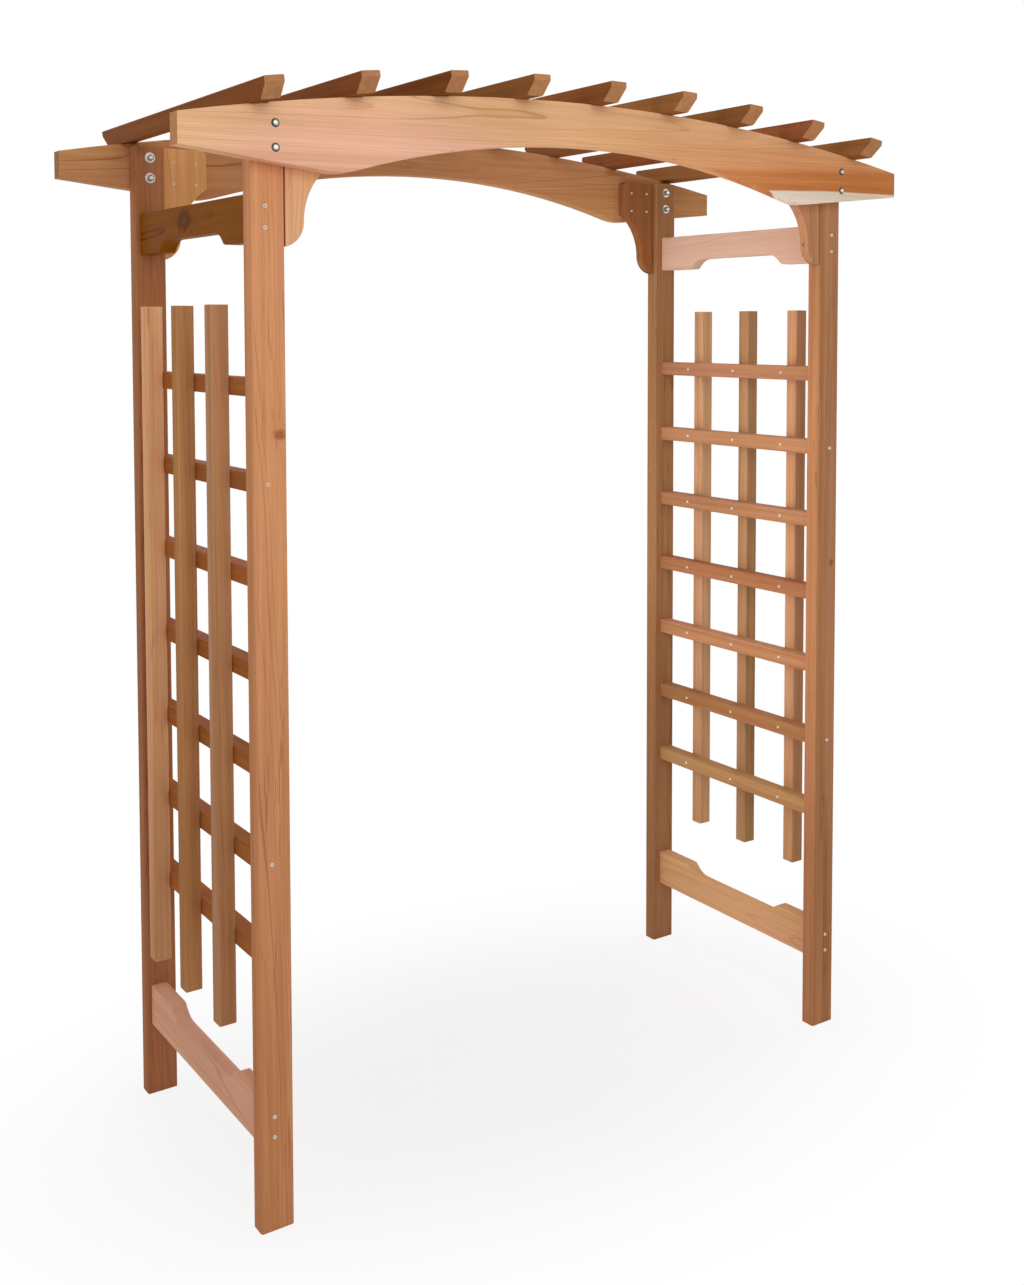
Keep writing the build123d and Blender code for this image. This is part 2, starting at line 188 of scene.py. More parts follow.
# Sapwood along the foot of the front beam, and the old heartwood above it
SAPWOOD_EDGE = 0.004
SAPWOOD_TAPER = 0.005
TAPER_REACH = (0.60, 0.92)
HEARTWOOD_DEPTH = (0.044, 0.020)
HEARTWOOD_LEAST = 0.68
HEARTWOOD_REACH = (-0.45, 0.62)
CROWN_FADE = (2.085, 2.150)
CROWN_HEARTWOOD = 0.35

# Zinc plating: colours, then roughness, relief and waves per metre of its clouds
# Dark steel of soil, painted shade and painted dark reflection on the heads
SOIL_AND_SHADE_STEEL = (44, 38, 32)
ZINC_BRIGHT = (242, 242, 239)
ZINC_DULL = (196, 194, 189)
SCREW_BRIGHT = (250, 250, 247)
SCREW_DULL = (236, 234, 228)
NUT_BRIGHT = (150, 148, 142)
NUT_DULL = (88, 86, 82)
# Painted dark reflection round the edge of a bolt's dome
PAINTED_DARK_EDGE_REFLECTION = (0.16, 0.14, 0.12, 1.0)
DULL_FADE = (0.40, 0.68)
SPANGLES = 3.0
ZINC_ROUGHNESS = 0.26
DULL_ROUGHNESS = 0.22
SOIL_AND_SHADE_ROUGHNESS = 0.3
SPANGLE_DEPTH = 0.0001
SPANGLE_BUMP = 0.3
SCREW_WAVES = 160.0
BOLT_WAVES = 120.0
SCREW_METALLIC = 0.2

# How dark a head is made, partly soil and partly painted shade and painted dark reflection: the floor of its
# recess, its rim, and the share of its radius that stays clean
SOIL_AND_SHADE_LAYER = "soil_and_shade"
SOIL_AND_SHADE_FADE = 0.4
SCREW_SOIL_AND_SHADE = {"recess": 0.45, "rim": 0.05, "clean": 0.5}
DARKER_SOIL_AND_SHADE = {"recess": 0.9, "rim": 0.8, "clean": 0.5}
BOLT_SOIL_AND_SHADE = {"recess": 0.0, "rim": 0.95, "clean": 0.30}

# Shapes of screws and bolts: lengths, and shares of the head's radius and height or of the length
HEAD_SEGMENTS = 24
PAN_HEAD = ((1.0, 0.0), (1.0, 0.30), (0.93, 0.68), (0.80, 0.92), (0.66, 1.0))
POINT_STARTS = 0.88
FLAT_RECESS_SHARE = 0.9
RECESS_ARM_SHARE = 0.45
RECESS_WIDTH_SHARE = 0.14
RECESS_DEPTH_SHARE = 0.75
RECESS_FLOOR_SHARE = 0.35
RECESS_REACH = 0.5
RECESS_MOUTH = 0.9
DOME_SKIRT = 0.08
DOME_STEPS = 9
BOLT_SEGMENTS = 40
BOLT_RADIUS = 0.00395
THREAD_LENGTH = 0.020
THREAD_PITCH = 0.0014
THREAD_DEPTH = 0.0006
SMOOTH_BELOW = math.radians(35)

# How a solid fastener is read: digits that tell corners apart, the longest head, and how it widens
CORNER_DIGITS = 5
LONGEST_HEAD = 0.012
HEAD_WIDENS = 1.25


def linear(colour):
    """Linear colour of a colour written as it looks, by the standard curve of displays."""
    parts = []
    for value in colour:
        share = value / 255
        parts.append(share / 12.92 if share <= 0.04045 else ((share + 0.055) / 1.055) ** 2.4)
    return (*parts, 1.0)


def shift_tone(tone, amount):
    """The same tone, lighter or darker by a share."""
    return tuple(min(255, value * (1 + amount)) for value in tone)


class Tree:
    """Short ways to add nodes to a node tree."""

    def __init__(self, tree):
        self.tree = tree
        self.nodes = tree.nodes

    def feed(self, socket, value):
        """Links a socket to another, or sets it to a constant."""
        if isinstance(value, bpy.types.NodeSocket):
            self.tree.links.new(value, socket)
        else:
            socket.default_value = value

    def node(self, kind, inputs=(), **settings):
        """New node with its settings made and its inputs fed."""
        node = self.nodes.new(kind)
        for name, value in settings.items():
            setattr(node, name, value)
        for name, value in dict(inputs).items():
            self.feed(node.inputs[name], value)
        return node

    def math(self, operation, first, second=0.0, third=0.0):
        node = self.nodes.new("ShaderNodeMath")
        node.operation = operation
        for socket, value in zip(node.inputs, (first, second, third)):
            self.feed(socket, value)
        return node.outputs[0]

    def plus(self, first, second):
        return self.math("ADD", first, second)

    def minus(self, first, second):
        return self.math("SUBTRACT", first, second)

    def times(self, first, second):
        return self.math("MULTIPLY", first, second)

    def vector(self, operation, first, second=(0.0, 0.0, 0.0)):
        node = self.nodes.new("ShaderNodeVectorMath")
        node.operation = operation
        self.feed(node.inputs[0], first)
        self.feed(node.inputs[1], second)
        return node.outputs["Value" if operation in ("LENGTH", "DOT_PRODUCT") else "Vector"]

    def scaled(self, vector, factor):
        """Vector times a number."""
        node = self.nodes.new("ShaderNodeVectorMath")
        node.operation = "SCALE"
        self.feed(node.inputs[0], vector)
        self.feed(node.inputs["Scale"], factor)
        return node.outputs["Vector"]

    def split(self, vector):
        """X, Y and Z of a vector."""
        return self.node("ShaderNodeSeparateXYZ", {"Vector": vector}).outputs

    def ramp(self, value, low, high, start=0.0, end=1.0):
        """Smooth step from start to end as the value goes from low to high."""
        inputs = {"Value": value, "From Min": low, "From Max": high, "To Min": start, "To Max": end}
        node = self.nodes.new("ShaderNodeMapRange")
        node.interpolation_type = "SMOOTHSTEP"
        for name, number in inputs.items():
            self.feed(node.inputs[name], number)
        return node.outputs["Result"]

    def noise(self, vector, scale, detail=2.0, roughness=0.5):
        inputs = {"Vector": vector, "Scale": scale, "Detail": detail, "Roughness": roughness}
        return self.node("ShaderNodeTexNoise", inputs, noise_dimensions="3D").outputs

    def waves(self, place, rates, detail=1.0, roughness=0.5):
        """Noise with its own number of waves per metre along each axis."""
        return self.noise(self.vector("MULTIPLY", place, rates), 1.0, detail, roughness)

    def line_noise(self, place, scale, detail=1.0):
        """Noise along one line."""
        inputs = {"W": place, "Scale": scale, "Detail": detail}
        return self.node("ShaderNodeTexNoise", inputs, noise_dimensions="1D").outputs["Fac"]

    def sway(self, noise, size):
        """Shift to either side, from a noise's colour."""
        return self.scaled(self.vector("SUBTRACT", noise["Color"], (NOISE_MEAN,) * 3), size)

    def mix(self, factor, first, second, blend_type):
        node = self.nodes.new("ShaderNodeMix")
        node.data_type = "RGBA"
        node.blend_type = blend_type
        self.feed(node.inputs["Factor"], factor)
        self.feed(node.inputs["A"], first)
        self.feed(node.inputs["B"], second)
        return node.outputs["Result"]

    def blend(self, factor, first, second):
        return self.mix(factor, first, second, "MIX")

    def tint(self, factor, colour, share):
        """Colour multiplied by a share where the factor is 1."""
        return self.mix(factor, colour, share, "MULTIPLY")

    def brightness(self, colour, value):
        """Colour, lighter or darker."""
        node = self.node("ShaderNodeHueSaturation", {"Color": colour, "Value": value})
        return node.outputs["Color"]

    def group(self, group, inputs):
        """Places a group with its own values; returns its outputs."""
        node = self.nodes.new("ShaderNodeGroup")
        node.node_tree = group
        for name, value in inputs.items():
            self.feed(node.inputs[name], value)
        return node.outputs


FLOAT, VECTOR, COLOUR = "NodeSocketFloat", "NodeSocketVector", "NodeSocketColor"


def start_group(name, inputs, outputs):
    """New shader group with its sockets; returns it with its input and output sockets."""
    group = bpy.data.node_groups.new(name, "ShaderNodeTree")
    for direction, sockets in (("INPUT", inputs), ("OUTPUT", outputs)):
        for kind, labels in sockets.items():
            for label in labels:
                group.interface.new_socket(label, in_out=direction, socket_type=kind)
    tree = Tree(group)
    given = group.nodes.new("NodeGroupInput").outputs
    result = group.nodes.new("NodeGroupOutput").inputs
    return group, tree, given, result


def make_growth_rings():
    """Year rings round a pith line that leans through the board."""
    inputs = {
        VECTOR: ("Vector", "Pith", "Lean"),
        FLOAT: ("Seed", "Ring Width", "Wander", "Lift", "Late Share"),
    }
    outputs = {FLOAT: ("Late Wood", "Band", "Pink", "Radius")}
    group, tree, given, result = start_group("growth_rings", inputs, outputs)
    place, seed = given["Vector"], given["Seed"]

    shifted = tree.vector("ADD", place, tree.scaled(SEED_STEP, seed))
    slow = tree.sway(tree.waves(shifted, SLOW_WAVES), given["Wander"])
    quick = tree.sway(tree.waves(shifted, QUICK_WAVES), tree.times(given["Wander"], QUICK_SHARE))
    centre = tree.vector("ADD", given["Pith"], tree.scaled(given["Lean"], tree.split(place)["Z"]))
    offset = tree.vector("ADD", tree.vector("SUBTRACT", place, centre), tree.vector("ADD", slow, quick))
    across = tree.vector("MULTIPLY", offset, (1.0, 1.0, 0.0))
    radius = tree.plus(tree.vector("LENGTH", across), given["Lift"])

    count = tree.math("DIVIDE", radius, given["Ring Width"])
    uneven = tree.line_noise(tree.plus(count, seed), UNEVEN_RATE)
    year = tree.plus(count, tree.times(uneven, UNEVEN_YEARS))
    phase = tree.math("FRACT", year)
    number = tree.plus(tree.math("FLOOR", year), tree.times(seed, RING_SEED))
    strength = tree.node("ShaderNodeTexWhiteNoise", {"W": number}, noise_dimensions="1D").outputs["Value"]
    strength = tree.times(strength, strength)
    rise = tree.ramp(phase, tree.minus(1.0, given["Late Share"]), LATE_WOOD_FULL)
    fall = tree.ramp(phase, LATE_WOOD_ENDS, 1.0, 1.0, 0.0)
    ring = tree.math("MULTIPLY_ADD", strength, 1.0 - FAINTEST_RING, FAINTEST_RING)

    broad = tree.line_noise(tree.plus(count, tree.times(seed, BAND_SEED)), BAND_RATE, detail=2.0)
    pink = tree.line_noise(tree.plus(count, tree.times(seed, PINK_SEED)), PINK_RATE)
    tree.feed(result["Late Wood"], tree.times(tree.times(rise, fall), ring))
    tree.feed(result["Band"], tree.ramp(broad, *BAND_FADE))
    tree.feed(result["Pink"], tree.ramp(pink, *PINK_FADE))
    tree.feed(result["Radius"], radius)
    return group


def make_fibre():
    """Fibres and streaks that run along the board."""
    inputs = {VECTOR: ("Vector",), FLOAT: ("Seed",)}
    outputs = {FLOAT: ("Streak", "Fibre", "Fleck", "Drift")}
    group, tree, given, result = start_group("fibre", inputs, outputs)
    place = tree.vector("ADD", given["Vector"], tree.scaled(FIBRE_SEED_STEP, given["Seed"]))
    fleck = tree.ramp(tree.waves(place, FLECK_WAVES, detail=0.0)["Fac"], *FLECK_FADE)
    cluster = tree.ramp(tree.waves(place, CLUSTER_WAVES)["Fac"], *CLUSTER_FADE)
    tree.feed(result["Streak"], tree.waves(place, STREAK_WAVES, detail=3.0, roughness=0.55)["Fac"])
    tree.feed(result["Fibre"], tree.waves(place, FIBRE_WAVES, detail=2.0, roughness=0.6)["Fac"])
    tree.feed(result["Fleck"], tree.times(fleck, cluster))
    tree.feed(result["Drift"], tree.waves(place, DRIFT_WAVES)["Fac"])
    return group


def make_knot():
    """One knot: a dark core, its rim, and how far it pushes the rings aside."""
    inputs = {VECTOR: ("Vector", "Place", "Weights"), FLOAT: ("Size", "Darkness")}
    group, tree, given, result = start_group("knot", inputs, {FLOAT: ("Core", "Halo", "Lift")})
    size, darkness = given["Size"], given["Darkness"]
    wobble = tree.sway(tree.noise(given["Vector"], KNOT_WAVES), tree.times(size, KNOT_WOBBLE))
    offset = tree.vector("ADD", tree.vector("SUBTRACT", given["Vector"], given["Place"]), wobble)
    distance = tree.vector("LENGTH", tree.vector("MULTIPLY", offset, given["Weights"]))
    share = tree.math("DIVIDE", distance, tree.math("MAXIMUM", size, LEAST_KNOT))
    heart = tree.ramp(share, *KNOT_HEART, KNOT_HEART_COVER, 1.0)
    core = tree.times(tree.ramp(share, *KNOT_CORE_EDGE, 1.0, 0.0), heart)
    outline = tree.times(tree.ramp(share, *KNOT_RIM_START), tree.ramp(share, *KNOT_RIM_END, 1.0, 0.0))
    bump = tree.math("EXPONENT", tree.times(tree.times(share, share), KNOT_LIFT_FALL))
    tree.feed(result["Core"], tree.times(core, darkness))
    tree.feed(result["Halo"], tree.times(outline, darkness))
    tree.feed(result["Lift"], tree.times(bump, tree.times(size, KNOT_LIFT)))
    return group


def make_edge_highlight():
    """Mask of a painted highlight: a narrow band along the long edges of a straight board, where their
    rounding catches the light.
    """
    inputs = {VECTOR: ("Vector", "Low", "High"), FLOAT: ("Width",)}
    group, tree, given, result = start_group("edge_highlight", inputs, {FLOAT: ("Edge Highlight",)})
    inside = tree.vector("SUBTRACT", given["Vector"], given["Low"])
    beyond = tree.vector("SUBTRACT", given["High"], given["Vector"])
    depth = tree.split(tree.vector("MINIMUM", inside, beyond))
    first, second, third = (depth[axis] for axis in "XYZ")
    least = tree.math("MINIMUM", first, tree.math("MINIMUM", second, third))
    most = tree.math("MAXIMUM", first, tree.math("MAXIMUM", second, third))
    total = tree.plus(first, tree.plus(second, third))
    middle = tree.minus(total, tree.plus(least, most))
    uneven = tree.noise(tree.scaled(given["Vector"], EDGE_HIGHLIGHT_WAVES), 1.0)["Fac"]
    width = tree.times(given["Width"], tree.plus(uneven, NOISE_MEAN))
    tree.feed(result["Edge Highlight"], tree.ramp(middle, 0.0, width, 1.0, 0.0))
    return group


def make_cedar_finish():
    """Colour, roughness and relief of oiled cedar from its masks, with a painted highlight along the edges
    and painted shade at the joints and towards the feet.
    """
    figure = ("Late Wood", "Band", "Pink", "Streak", "Fibre", "Fleck", "Drift", "Sap", "Heart")
    places = ("Core", "Halo", "End Grain", "Edge Highlight", "Joint Shade", "Foot Shade")
    strengths = ("Line Strength", "Streak Strength", "Pink Strength", "Fleck Strength")
    inputs = {COLOUR: ("Tone", "End Tone"), FLOAT: figure + places + strengths}
    outputs = {COLOUR: ("Color",), FLOAT: ("Roughness", "Height")}
    group, tree, given, result = start_group("cedar_finish", inputs, outputs)
    line = tree.times(given["Late Wood"], given["Line Strength"])
    pink = tree.times(given["Pink"], given["Pink Strength"])
    fleck = tree.times(given["Fleck"], given["Fleck Strength"])

    shade = tree.times(tree.minus(given["Streak"], NOISE_MEAN), given["Streak Strength"])
    fine = tree.math("MULTIPLY_ADD", given["Fibre"], FIBRE_CONTRAST, 1.0 - FIBRE_CONTRAST / 2)
    broad = tree.math("MULTIPLY_ADD", given["Drift"], DRIFT_CONTRAST, -DRIFT_CONTRAST / 2)
    shade = tree.plus(tree.plus(shade, fine), broad)

    colour = tree.tint(1.0, given["Tone"], tree.blend(given["Band"], PALE_BAND, DEEP_BAND))
    colour = tree.tint(pink, colour, PINK_BAND)
    colour = tree.tint(given["Heart"], colour, OLD_HEARTWOOD)
    colour = tree.blend(given["Sap"], colour, linear(SAPWOOD))
    colour = tree.tint(line, colour, RING_LINE)
    colour = tree.tint(fleck, colour, DARK_FLECK)
    colour = tree.brightness(colour, shade)
    colour = tree.tint(tree.times(tree.minus(1.0, shade), HOLLOW_WARMTH), colour, STREAK_WARMTH)
    colour = tree.blend(given["Core"], colour, linear(KNOT_WOOD))
    colour = tree.tint(given["Halo"], colour, KNOT_RIM)
    end = tree.tint(line, tree.brightness(given["End Tone"], shade), RING_LINE)
    colour = tree.blend(tree.times(given["End Grain"], END_GRAIN_COVER), colour, end)
    # Painted highlight: the long edges are lightened
    colour = tree.tint(given["Edge Highlight"], colour, PAINTED_EDGE_HIGHLIGHT)
    # Painted shade: a dark line where a bracket meets its post
    colour = tree.tint(given["Joint Shade"], colour, JOINT_SHADE)
    # Painted shade: darker towards the foot of an upright board
    colour = tree.tint(given["Foot Shade"], colour, PAINTED_FOOT_SHADE)

    rough = tree.math("MULTIPLY_ADD", given["Fibre"], FIBRE_ROUGHNESS, OIL_ROUGHNESS)
    rough = tree.plus(rough, tree.times(line, LINE_POLISH))
    rough = tree.plus(rough, tree.times(given["End Grain"], END_ROUGHNESS))
    height = tree.math("MULTIPLY_ADD", given["Late Wood"], LATE_WOOD_RELIEF, given["Fibre"])
    height = tree.minus(height, tree.times(given["Fleck"], FLECK_RELIEF))
    tree.feed(result["Color"], colour)
    tree.feed(result["Roughness"], rough)
    tree.feed(result["Height"], height)
    return group


def make_plated_steel():
    """Colour, roughness and relief of zinc plating, darkened where marked by soil and painted shade."""
    inputs = {VECTOR: ("Vector",), COLOUR: ("Bright", "Dull"), FLOAT: ("Scale", "Soil And Shade")}
    outputs = {COLOUR: ("Color",), FLOAT: ("Roughness", "Height")}
    group, tree, given, result = start_group("plated_steel", inputs, outputs)
    cloud = tree.noise(given["Vector"], given["Scale"], detail=4.0, roughness=0.6)["Fac"]
    grains = {"Vector": given["Vector"], "Scale": tree.times(given["Scale"], SPANGLES)}
    dull = tree.ramp(cloud, *DULL_FADE)
    colour = tree.blend(dull, given["Bright"], given["Dull"])
    rough = tree.math("MULTIPLY_ADD", dull, DULL_ROUGHNESS, ZINC_ROUGHNESS)
    # Soil and painted shade blended in where the heads are marked
    tree.feed(result["Color"], tree.blend(given["Soil And Shade"], colour, linear(SOIL_AND_SHADE_STEEL)))
    tree.feed(result["Roughness"], tree.math("MULTIPLY_ADD", given["Soil And Shade"], SOIL_AND_SHADE_ROUGHNESS, rough))
    tree.feed(result["Height"], tree.node("ShaderNodeTexVoronoi", grains).outputs["Distance"])
    return group


growth_rings = make_growth_rings()
fibre = make_fibre()
knot = make_knot()
edge_highlight = make_edge_highlight()
cedar_finish = make_cedar_finish()
plated_steel = make_plated_steel()


class Cut:
    """How a board was sawn: where the pith lies beside it, how it leans, and the figure it gives."""

    def __init__(self, pith, lean, ring_width, **figure):
        self.pith = pith
        self.lean = lean
        self.ring_width = ring_width
        self.figure = {**USUAL_FIGURE, **figure}

    def varied(self, draw):
        """The same cut from another place in the tree."""
        sides = [draw.choice((-1, 1)) for _ in range(4)]
        pith = [sides[i] * self.pith[i] * draw.uniform(*PITH_VARIES) for i in range(2)]
        lean = [sides[i + 2] * self.lean[i] * draw.uniform(*LEAN_VARIES) for i in range(2)]
        return Cut(pith, lean, self.ring_width, **self.figure)


# How the boards are sawn
BEAM_CUT = Cut((0.030, 0.085), (0.030, 0.020), 0.0048, lines=0.9, streaks=0.55)
POST_CUT = Cut((0.035, 0.100), (0.004, 0.014), 0.0040, lines=0.7, streaks=0.62, flecks=0.5)
SCROLL_CUT = Cut((0.060, 0.090), (0.030, 0.040), 0.0044, lines=0.85, streaks=0.55)
RAIL_CUT = Cut((0.085, 0.012), (0.030, 0.035), 0.0060, lines=0.95, streaks=0.45)
STICK_CUT = Cut((0.050, 0.060), (0.006, 0.014), 0.0040, lines=0.7, streaks=0.65, flecks=0.4, pink=0.35)
SLAT_FIGURE = {"lines": 0.7, "streaks": 0.60, "pink": 0.0, "end_tone": (200, 142, 98), "end_from": 0.30}
SLAT_CUT = Cut((0.030, 0.070), (0.012, 0.020), 0.0046, **SLAT_FIGURE)

# Kinds of board: the axis of the grain, and the cut
BOARDS = {
    "arch_beam": ("X", BEAM_CUT),
    "roof_slat": ("Y", SLAT_CUT),
    "post": ("Z", POST_CUT),
    "corner_bracket": ("Z", SCROLL_CUT),
    "upper_rail": ("Y", RAIL_CUT),
    "lower_rail": ("Y", RAIL_CUT),
    "trellis_rail_left": ("Y", STICK_CUT),
    "trellis_rail_right": ("Y", STICK_CUT),
    "trellis_upright": ("Z", STICK_CUT),
}

# Tones of the boards that the eye doesn't pick out, and how far each strays from its kind's
KIND_TONES = {
    "arch_beam": ((205, 150, 100), 0.0),
    "trellis_rail_left": ((170, 105, 55), 0.05),
    "trellis_rail_right": ((175, 125, 90), 0.06),
}

# Boards whose own tone the eye picks out
OWN_TONES = {
    "roof_slat_1": (140, 80, 35),
    "roof_slat_2": (145, 85, 40),
    "roof_slat_3": (130, 75, 30),
    "roof_slat_4": (145, 95, 50),
    "roof_slat_5": (150, 95, 55),
    "roof_slat_6": (150, 100, 55),
    "roof_slat_7": (140, 90, 50),
    "roof_slat_8": (150, 90, 55),
    "roof_slat_9": (155, 105, 60),
    "arch_beam_front": (245, 195, 150),
    "post_front_left": (220, 155, 110),
    "post_rear_left": (185, 125, 85),
    "post_front_right": (190, 135, 95),
    "post_rear_right": (165, 120, 80),
    "corner_bracket_front_left": (235, 180, 135),
    "corner_bracket_rear_left": (240, 180, 115),
    "corner_bracket_front_right": (200, 145, 105),
    "corner_bracket_rear_right": (165, 110, 70),
    "upper_rail_left": (145, 85, 15),
    "upper_rail_right": (230, 190, 170),
    "lower_rail_left": (225, 170, 140),
    "lower_rail_right": (210, 160, 115),
    "trellis_upright_left_1": (205, 155, 115),
    "trellis_upright_left_2": (200, 145, 95),
    "trellis_upright_left_3": (255, 200, 150),
    "trellis_rail_right_2": (185, 135, 95),
    "trellis_rail_right_4": (170, 115, 80),
    "trellis_rail_right_6": (165, 115, 75),
    "trellis_rail_right_7": (180, 135, 90),
    "trellis_upright_right_1": (200, 150, 110),
    "trellis_upright_right_2": (175, 135, 95),
    "trellis_upright_right_3": (205, 160, 120),
}

# Pink patch low on the left half of the front beam: its middle, weights of the distance, and reach
BEAM_BLUSH = ((-0.49, -0.33, 1.97), (0.60, 0.0, 1.5), 0.30)

# Boards whose own figure the eye picks out: the cut as it lies, and its seed
BEAM_FIGURE = {"lines": 0.85, "streaks": 0.36, "pink": 1.0, "end_tone": (204, 146, 92), "sapwood": 0.147}
FRONT_BEAM_CUT = Cut((-0.0525, 0.060), (-0.020, 0.014), 0.0040, blush=BEAM_BLUSH, **BEAM_FIGURE)
PALE_RAIL_CUT = Cut((0.070, 0.004), (0.010, 0.055), 0.0078, lines=1.6, streaks=0.30, pink=0.0, late=0.13)
KNOTTY_RAIL_CUT = Cut((-0.055, -0.010), (0.010, 0.060), 0.0046, lines=2.4, streaks=0.40, pink=0.0, late=0.30)
OWN_CUTS = {
    "arch_beam_front": (FRONT_BEAM_CUT, 5.0),
    "upper_rail_right": (PALE_RAIL_CUT, 4.0),
    "upper_rail_left": (KNOTTY_RAIL_CUT, 6.0),
}

# Knots seen on the boards: place on the board, weights of the distance, size and darkness
KNOTS = {
    "post_front_left": [((-0.700, -0.3302, 1.510), (1.0, 0.2, 1.3), 0.0090, 0.60)],
    "upper_rail_left": [((-0.7425, 0.03, 1.925), (0.2, 0.58, 1.0), 0.0150, 1.0)],
    "post_front_right": [((0.735, -0.3302, 1.140), (1.0, 0.2, 1.0), 0.0055, 0.6)],
}

# Turn that lays a board's local Z along its grain, and the grain's direction
GRAIN = {
    "X": (Euler((0.0, math.pi / 2, 0.0)), (1.0, 0.0, 0.0)),
    "Y": (Euler((-math.pi / 2, 0.0, 0.0)), (0.0, 1.0, 0.0)),
    "Z": (Euler((0.0, 0.0, 0.0)), (0.0, 0.0, 1.0)),
}


def new_material(name):
    """Empty node material; returns it with its tree and its shader."""
    material = bpy.data.materials.new(name)
    material.use_nodes = True
    tree = Tree(material.node_tree)
    shader = tree.nodes["Principled BSDF"]
    return material, tree, shader


def knot_masks(tree, world, knots):
    """Cores and rims of a board's knots, and how far they push the rings aside."""
    lift, core, halo = 0.0, 0.0, 0.0
    for spot, weights, size, darkness in knots:
        asked = {"Vector": world, "Place": spot, "Weights": weights, "Size": size, "Darkness": darkness}
        found = tree.group(knot, asked)
        lift = tree.plus(lift, found["Lift"])
        core = tree.math("MAXIMUM", core, found["Core"])
        halo = tree.math("MAXIMUM", halo, found["Halo"])
    return lift, {"Core": core, "Halo": halo}


def blush_mask(tree, world, blush):
    """Soft patch round a spot."""
    spot, weights, reach = blush
    apart = tree.vector("MULTIPLY", tree.vector("SUBTRACT", world, spot), weights)
    return tree.ramp(tree.vector("LENGTH", apart), reach * BLUSH_CORE, reach, 1.0, 0.0)


def sapwood_masks(tree, world, radius, edge):
    """Sapwood beyond a radius, thinner towards the beam's end, and the old heartwood inside it."""
    spread = tree.split(world)
    narrowed = tree.times(tree.ramp(spread["X"], *TAPER_REACH), SAPWOOD_TAPER)
    sap = tree.ramp(tree.minus(radius, narrowed), edge, edge + SAPWOOD_EDGE)
    inner, outer = (edge - depth for depth in HEARTWOOD_DEPTH)
    heart = tree.ramp(radius, inner, outer, HEARTWOOD_LEAST, 1.0)
    below_crown = tree.ramp(spread["Z"], *CROWN_FADE, 1.0, CROWN_HEARTWOOD)
    heart = tree.times(tree.times(heart, below_crown), tree.ramp(spread["X"], *HEARTWOOD_REACH))
    return {"Sap": sap, "Heart": heart}


def joint_shade_mask(tree, world, end, side):
    """Painted shade: dark line along the edges of a bracket where it meets its post, as shade in the crease
    between them.
    """
    low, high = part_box(f"post_{end}_{side}")
    face = (high[0] if side == "left" else low[0], 0.0, 0.0)
    offset = tree.vector("DOT_PRODUCT", tree.vector("SUBTRACT", world, face), GRAIN["X"][1])
    return tree.ramp(tree.math("ABSOLUTE", offset), JOINT_WIDTH * JOINT_CORE, JOINT_WIDTH, 1.0, 0.0)


def cedar(node, grain, tone, cut, seed, knots):
    """Material of one board, sawn from its own place in the tree."""
    material, tree, shader = new_material("cedar_" + node)
    low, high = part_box(node)
    turn, direction = GRAIN[grain]
    figure = cut.figure
    world = tree.node("ShaderNodeTexCoord").outputs["Object"]
    laid = {"Vector": world, "Location": (low + high) / 2, "Rotation": turn}
    place = tree.node("ShaderNodeMapping", laid, vector_type="TEXTURE").outputs["Vector"]
    lift, masks = knot_masks(tree, world, knots)

    sawn = {"Vector": place, "Seed": seed, "Pith": (*cut.pith, 0.0), "Lean": (*cut.lean, 0.0)}
    sawn.update({"Ring Width": cut.ring_width, "Wander": WANDER, "Lift": lift, "Late Share": figure["late"]})
    rings = tree.group(growth_rings, sawn)
    threads = tree.group(fibre, {"Vector": place, "Seed": seed})
    masks.update({label: rings[label] for label in ("Late Wood", "Band", "Pink")})
    masks.update({label: threads[label] for label in ("Streak", "Fibre", "Fleck", "Drift")})
    if figure["blush"]:
        masks["Pink"] = blush_mask(tree, world, figure["blush"])
    if figure["sapwood"]:
        masks.update(sapwood_masks(tree, world, rings["Radius"], figure["sapwood"]))

    normal = tree.node("ShaderNodeNewGeometry").outputs["Normal"]
    facing = tree.math("ABSOLUTE", tree.vector("DOT_PRODUCT", normal, direction))
    masks["End Grain"] = tree.ramp(facing, figure["end_from"], figure["end_from"] + END_GRAIN_FADE)
    # Mask of the painted highlight along the long edges
    sides = {"Vector": world, "Low": low, "High": high, "Width": EDGE_HIGHLIGHT_WIDTH}
    masks["Edge Highlight"] = tree.group(edge_highlight, sides)["Edge Highlight"]
    # Mask of the painted shade towards the foot of an upright board
    if grain == "Z":
        strength = FOOT_SHADE_STRENGTH.get(node, FOOT_SHADE_USUAL)
        masks["Foot Shade"] = tree.ramp(tree.split(world)["Z"], FOOT_SHADE_TOP, FOOT_SHADE_BOTTOM, 0.0, strength)
    # Mask of the painted shade where a bracket meets its post
    if node.startswith("corner_bracket"):
        masks["Joint Shade"] = joint_shade_mask(tree, world, *node.split("_")[-2:])

    masks.update({"Line Strength": figure["lines"], "Streak Strength": figure["streaks"]})
    masks.update({"Pink Strength": figure["pink"], "Fleck Strength": figure["flecks"]})
    masks["Tone"] = linear(tone)
    masks["End Tone"] = linear(figure["end_tone"] or shift_tone(tone, -END_DARKER))
    finish = tree.group(cedar_finish, masks)
    relief = {"Height": finish["Height"], "Distance": FIBRE_DEPTH, "Strength": FIBRE_BUMP}
    tree.feed(shader.inputs["Base Color"], finish["Color"])
    tree.feed(shader.inputs["Roughness"], finish["Roughness"])
    tree.feed(shader.inputs["Normal"], tree.node("ShaderNodeBump", relief).outputs["Normal"])
    shader.inputs["Specular IOR Level"].default_value = OIL_SPECULAR
    return material


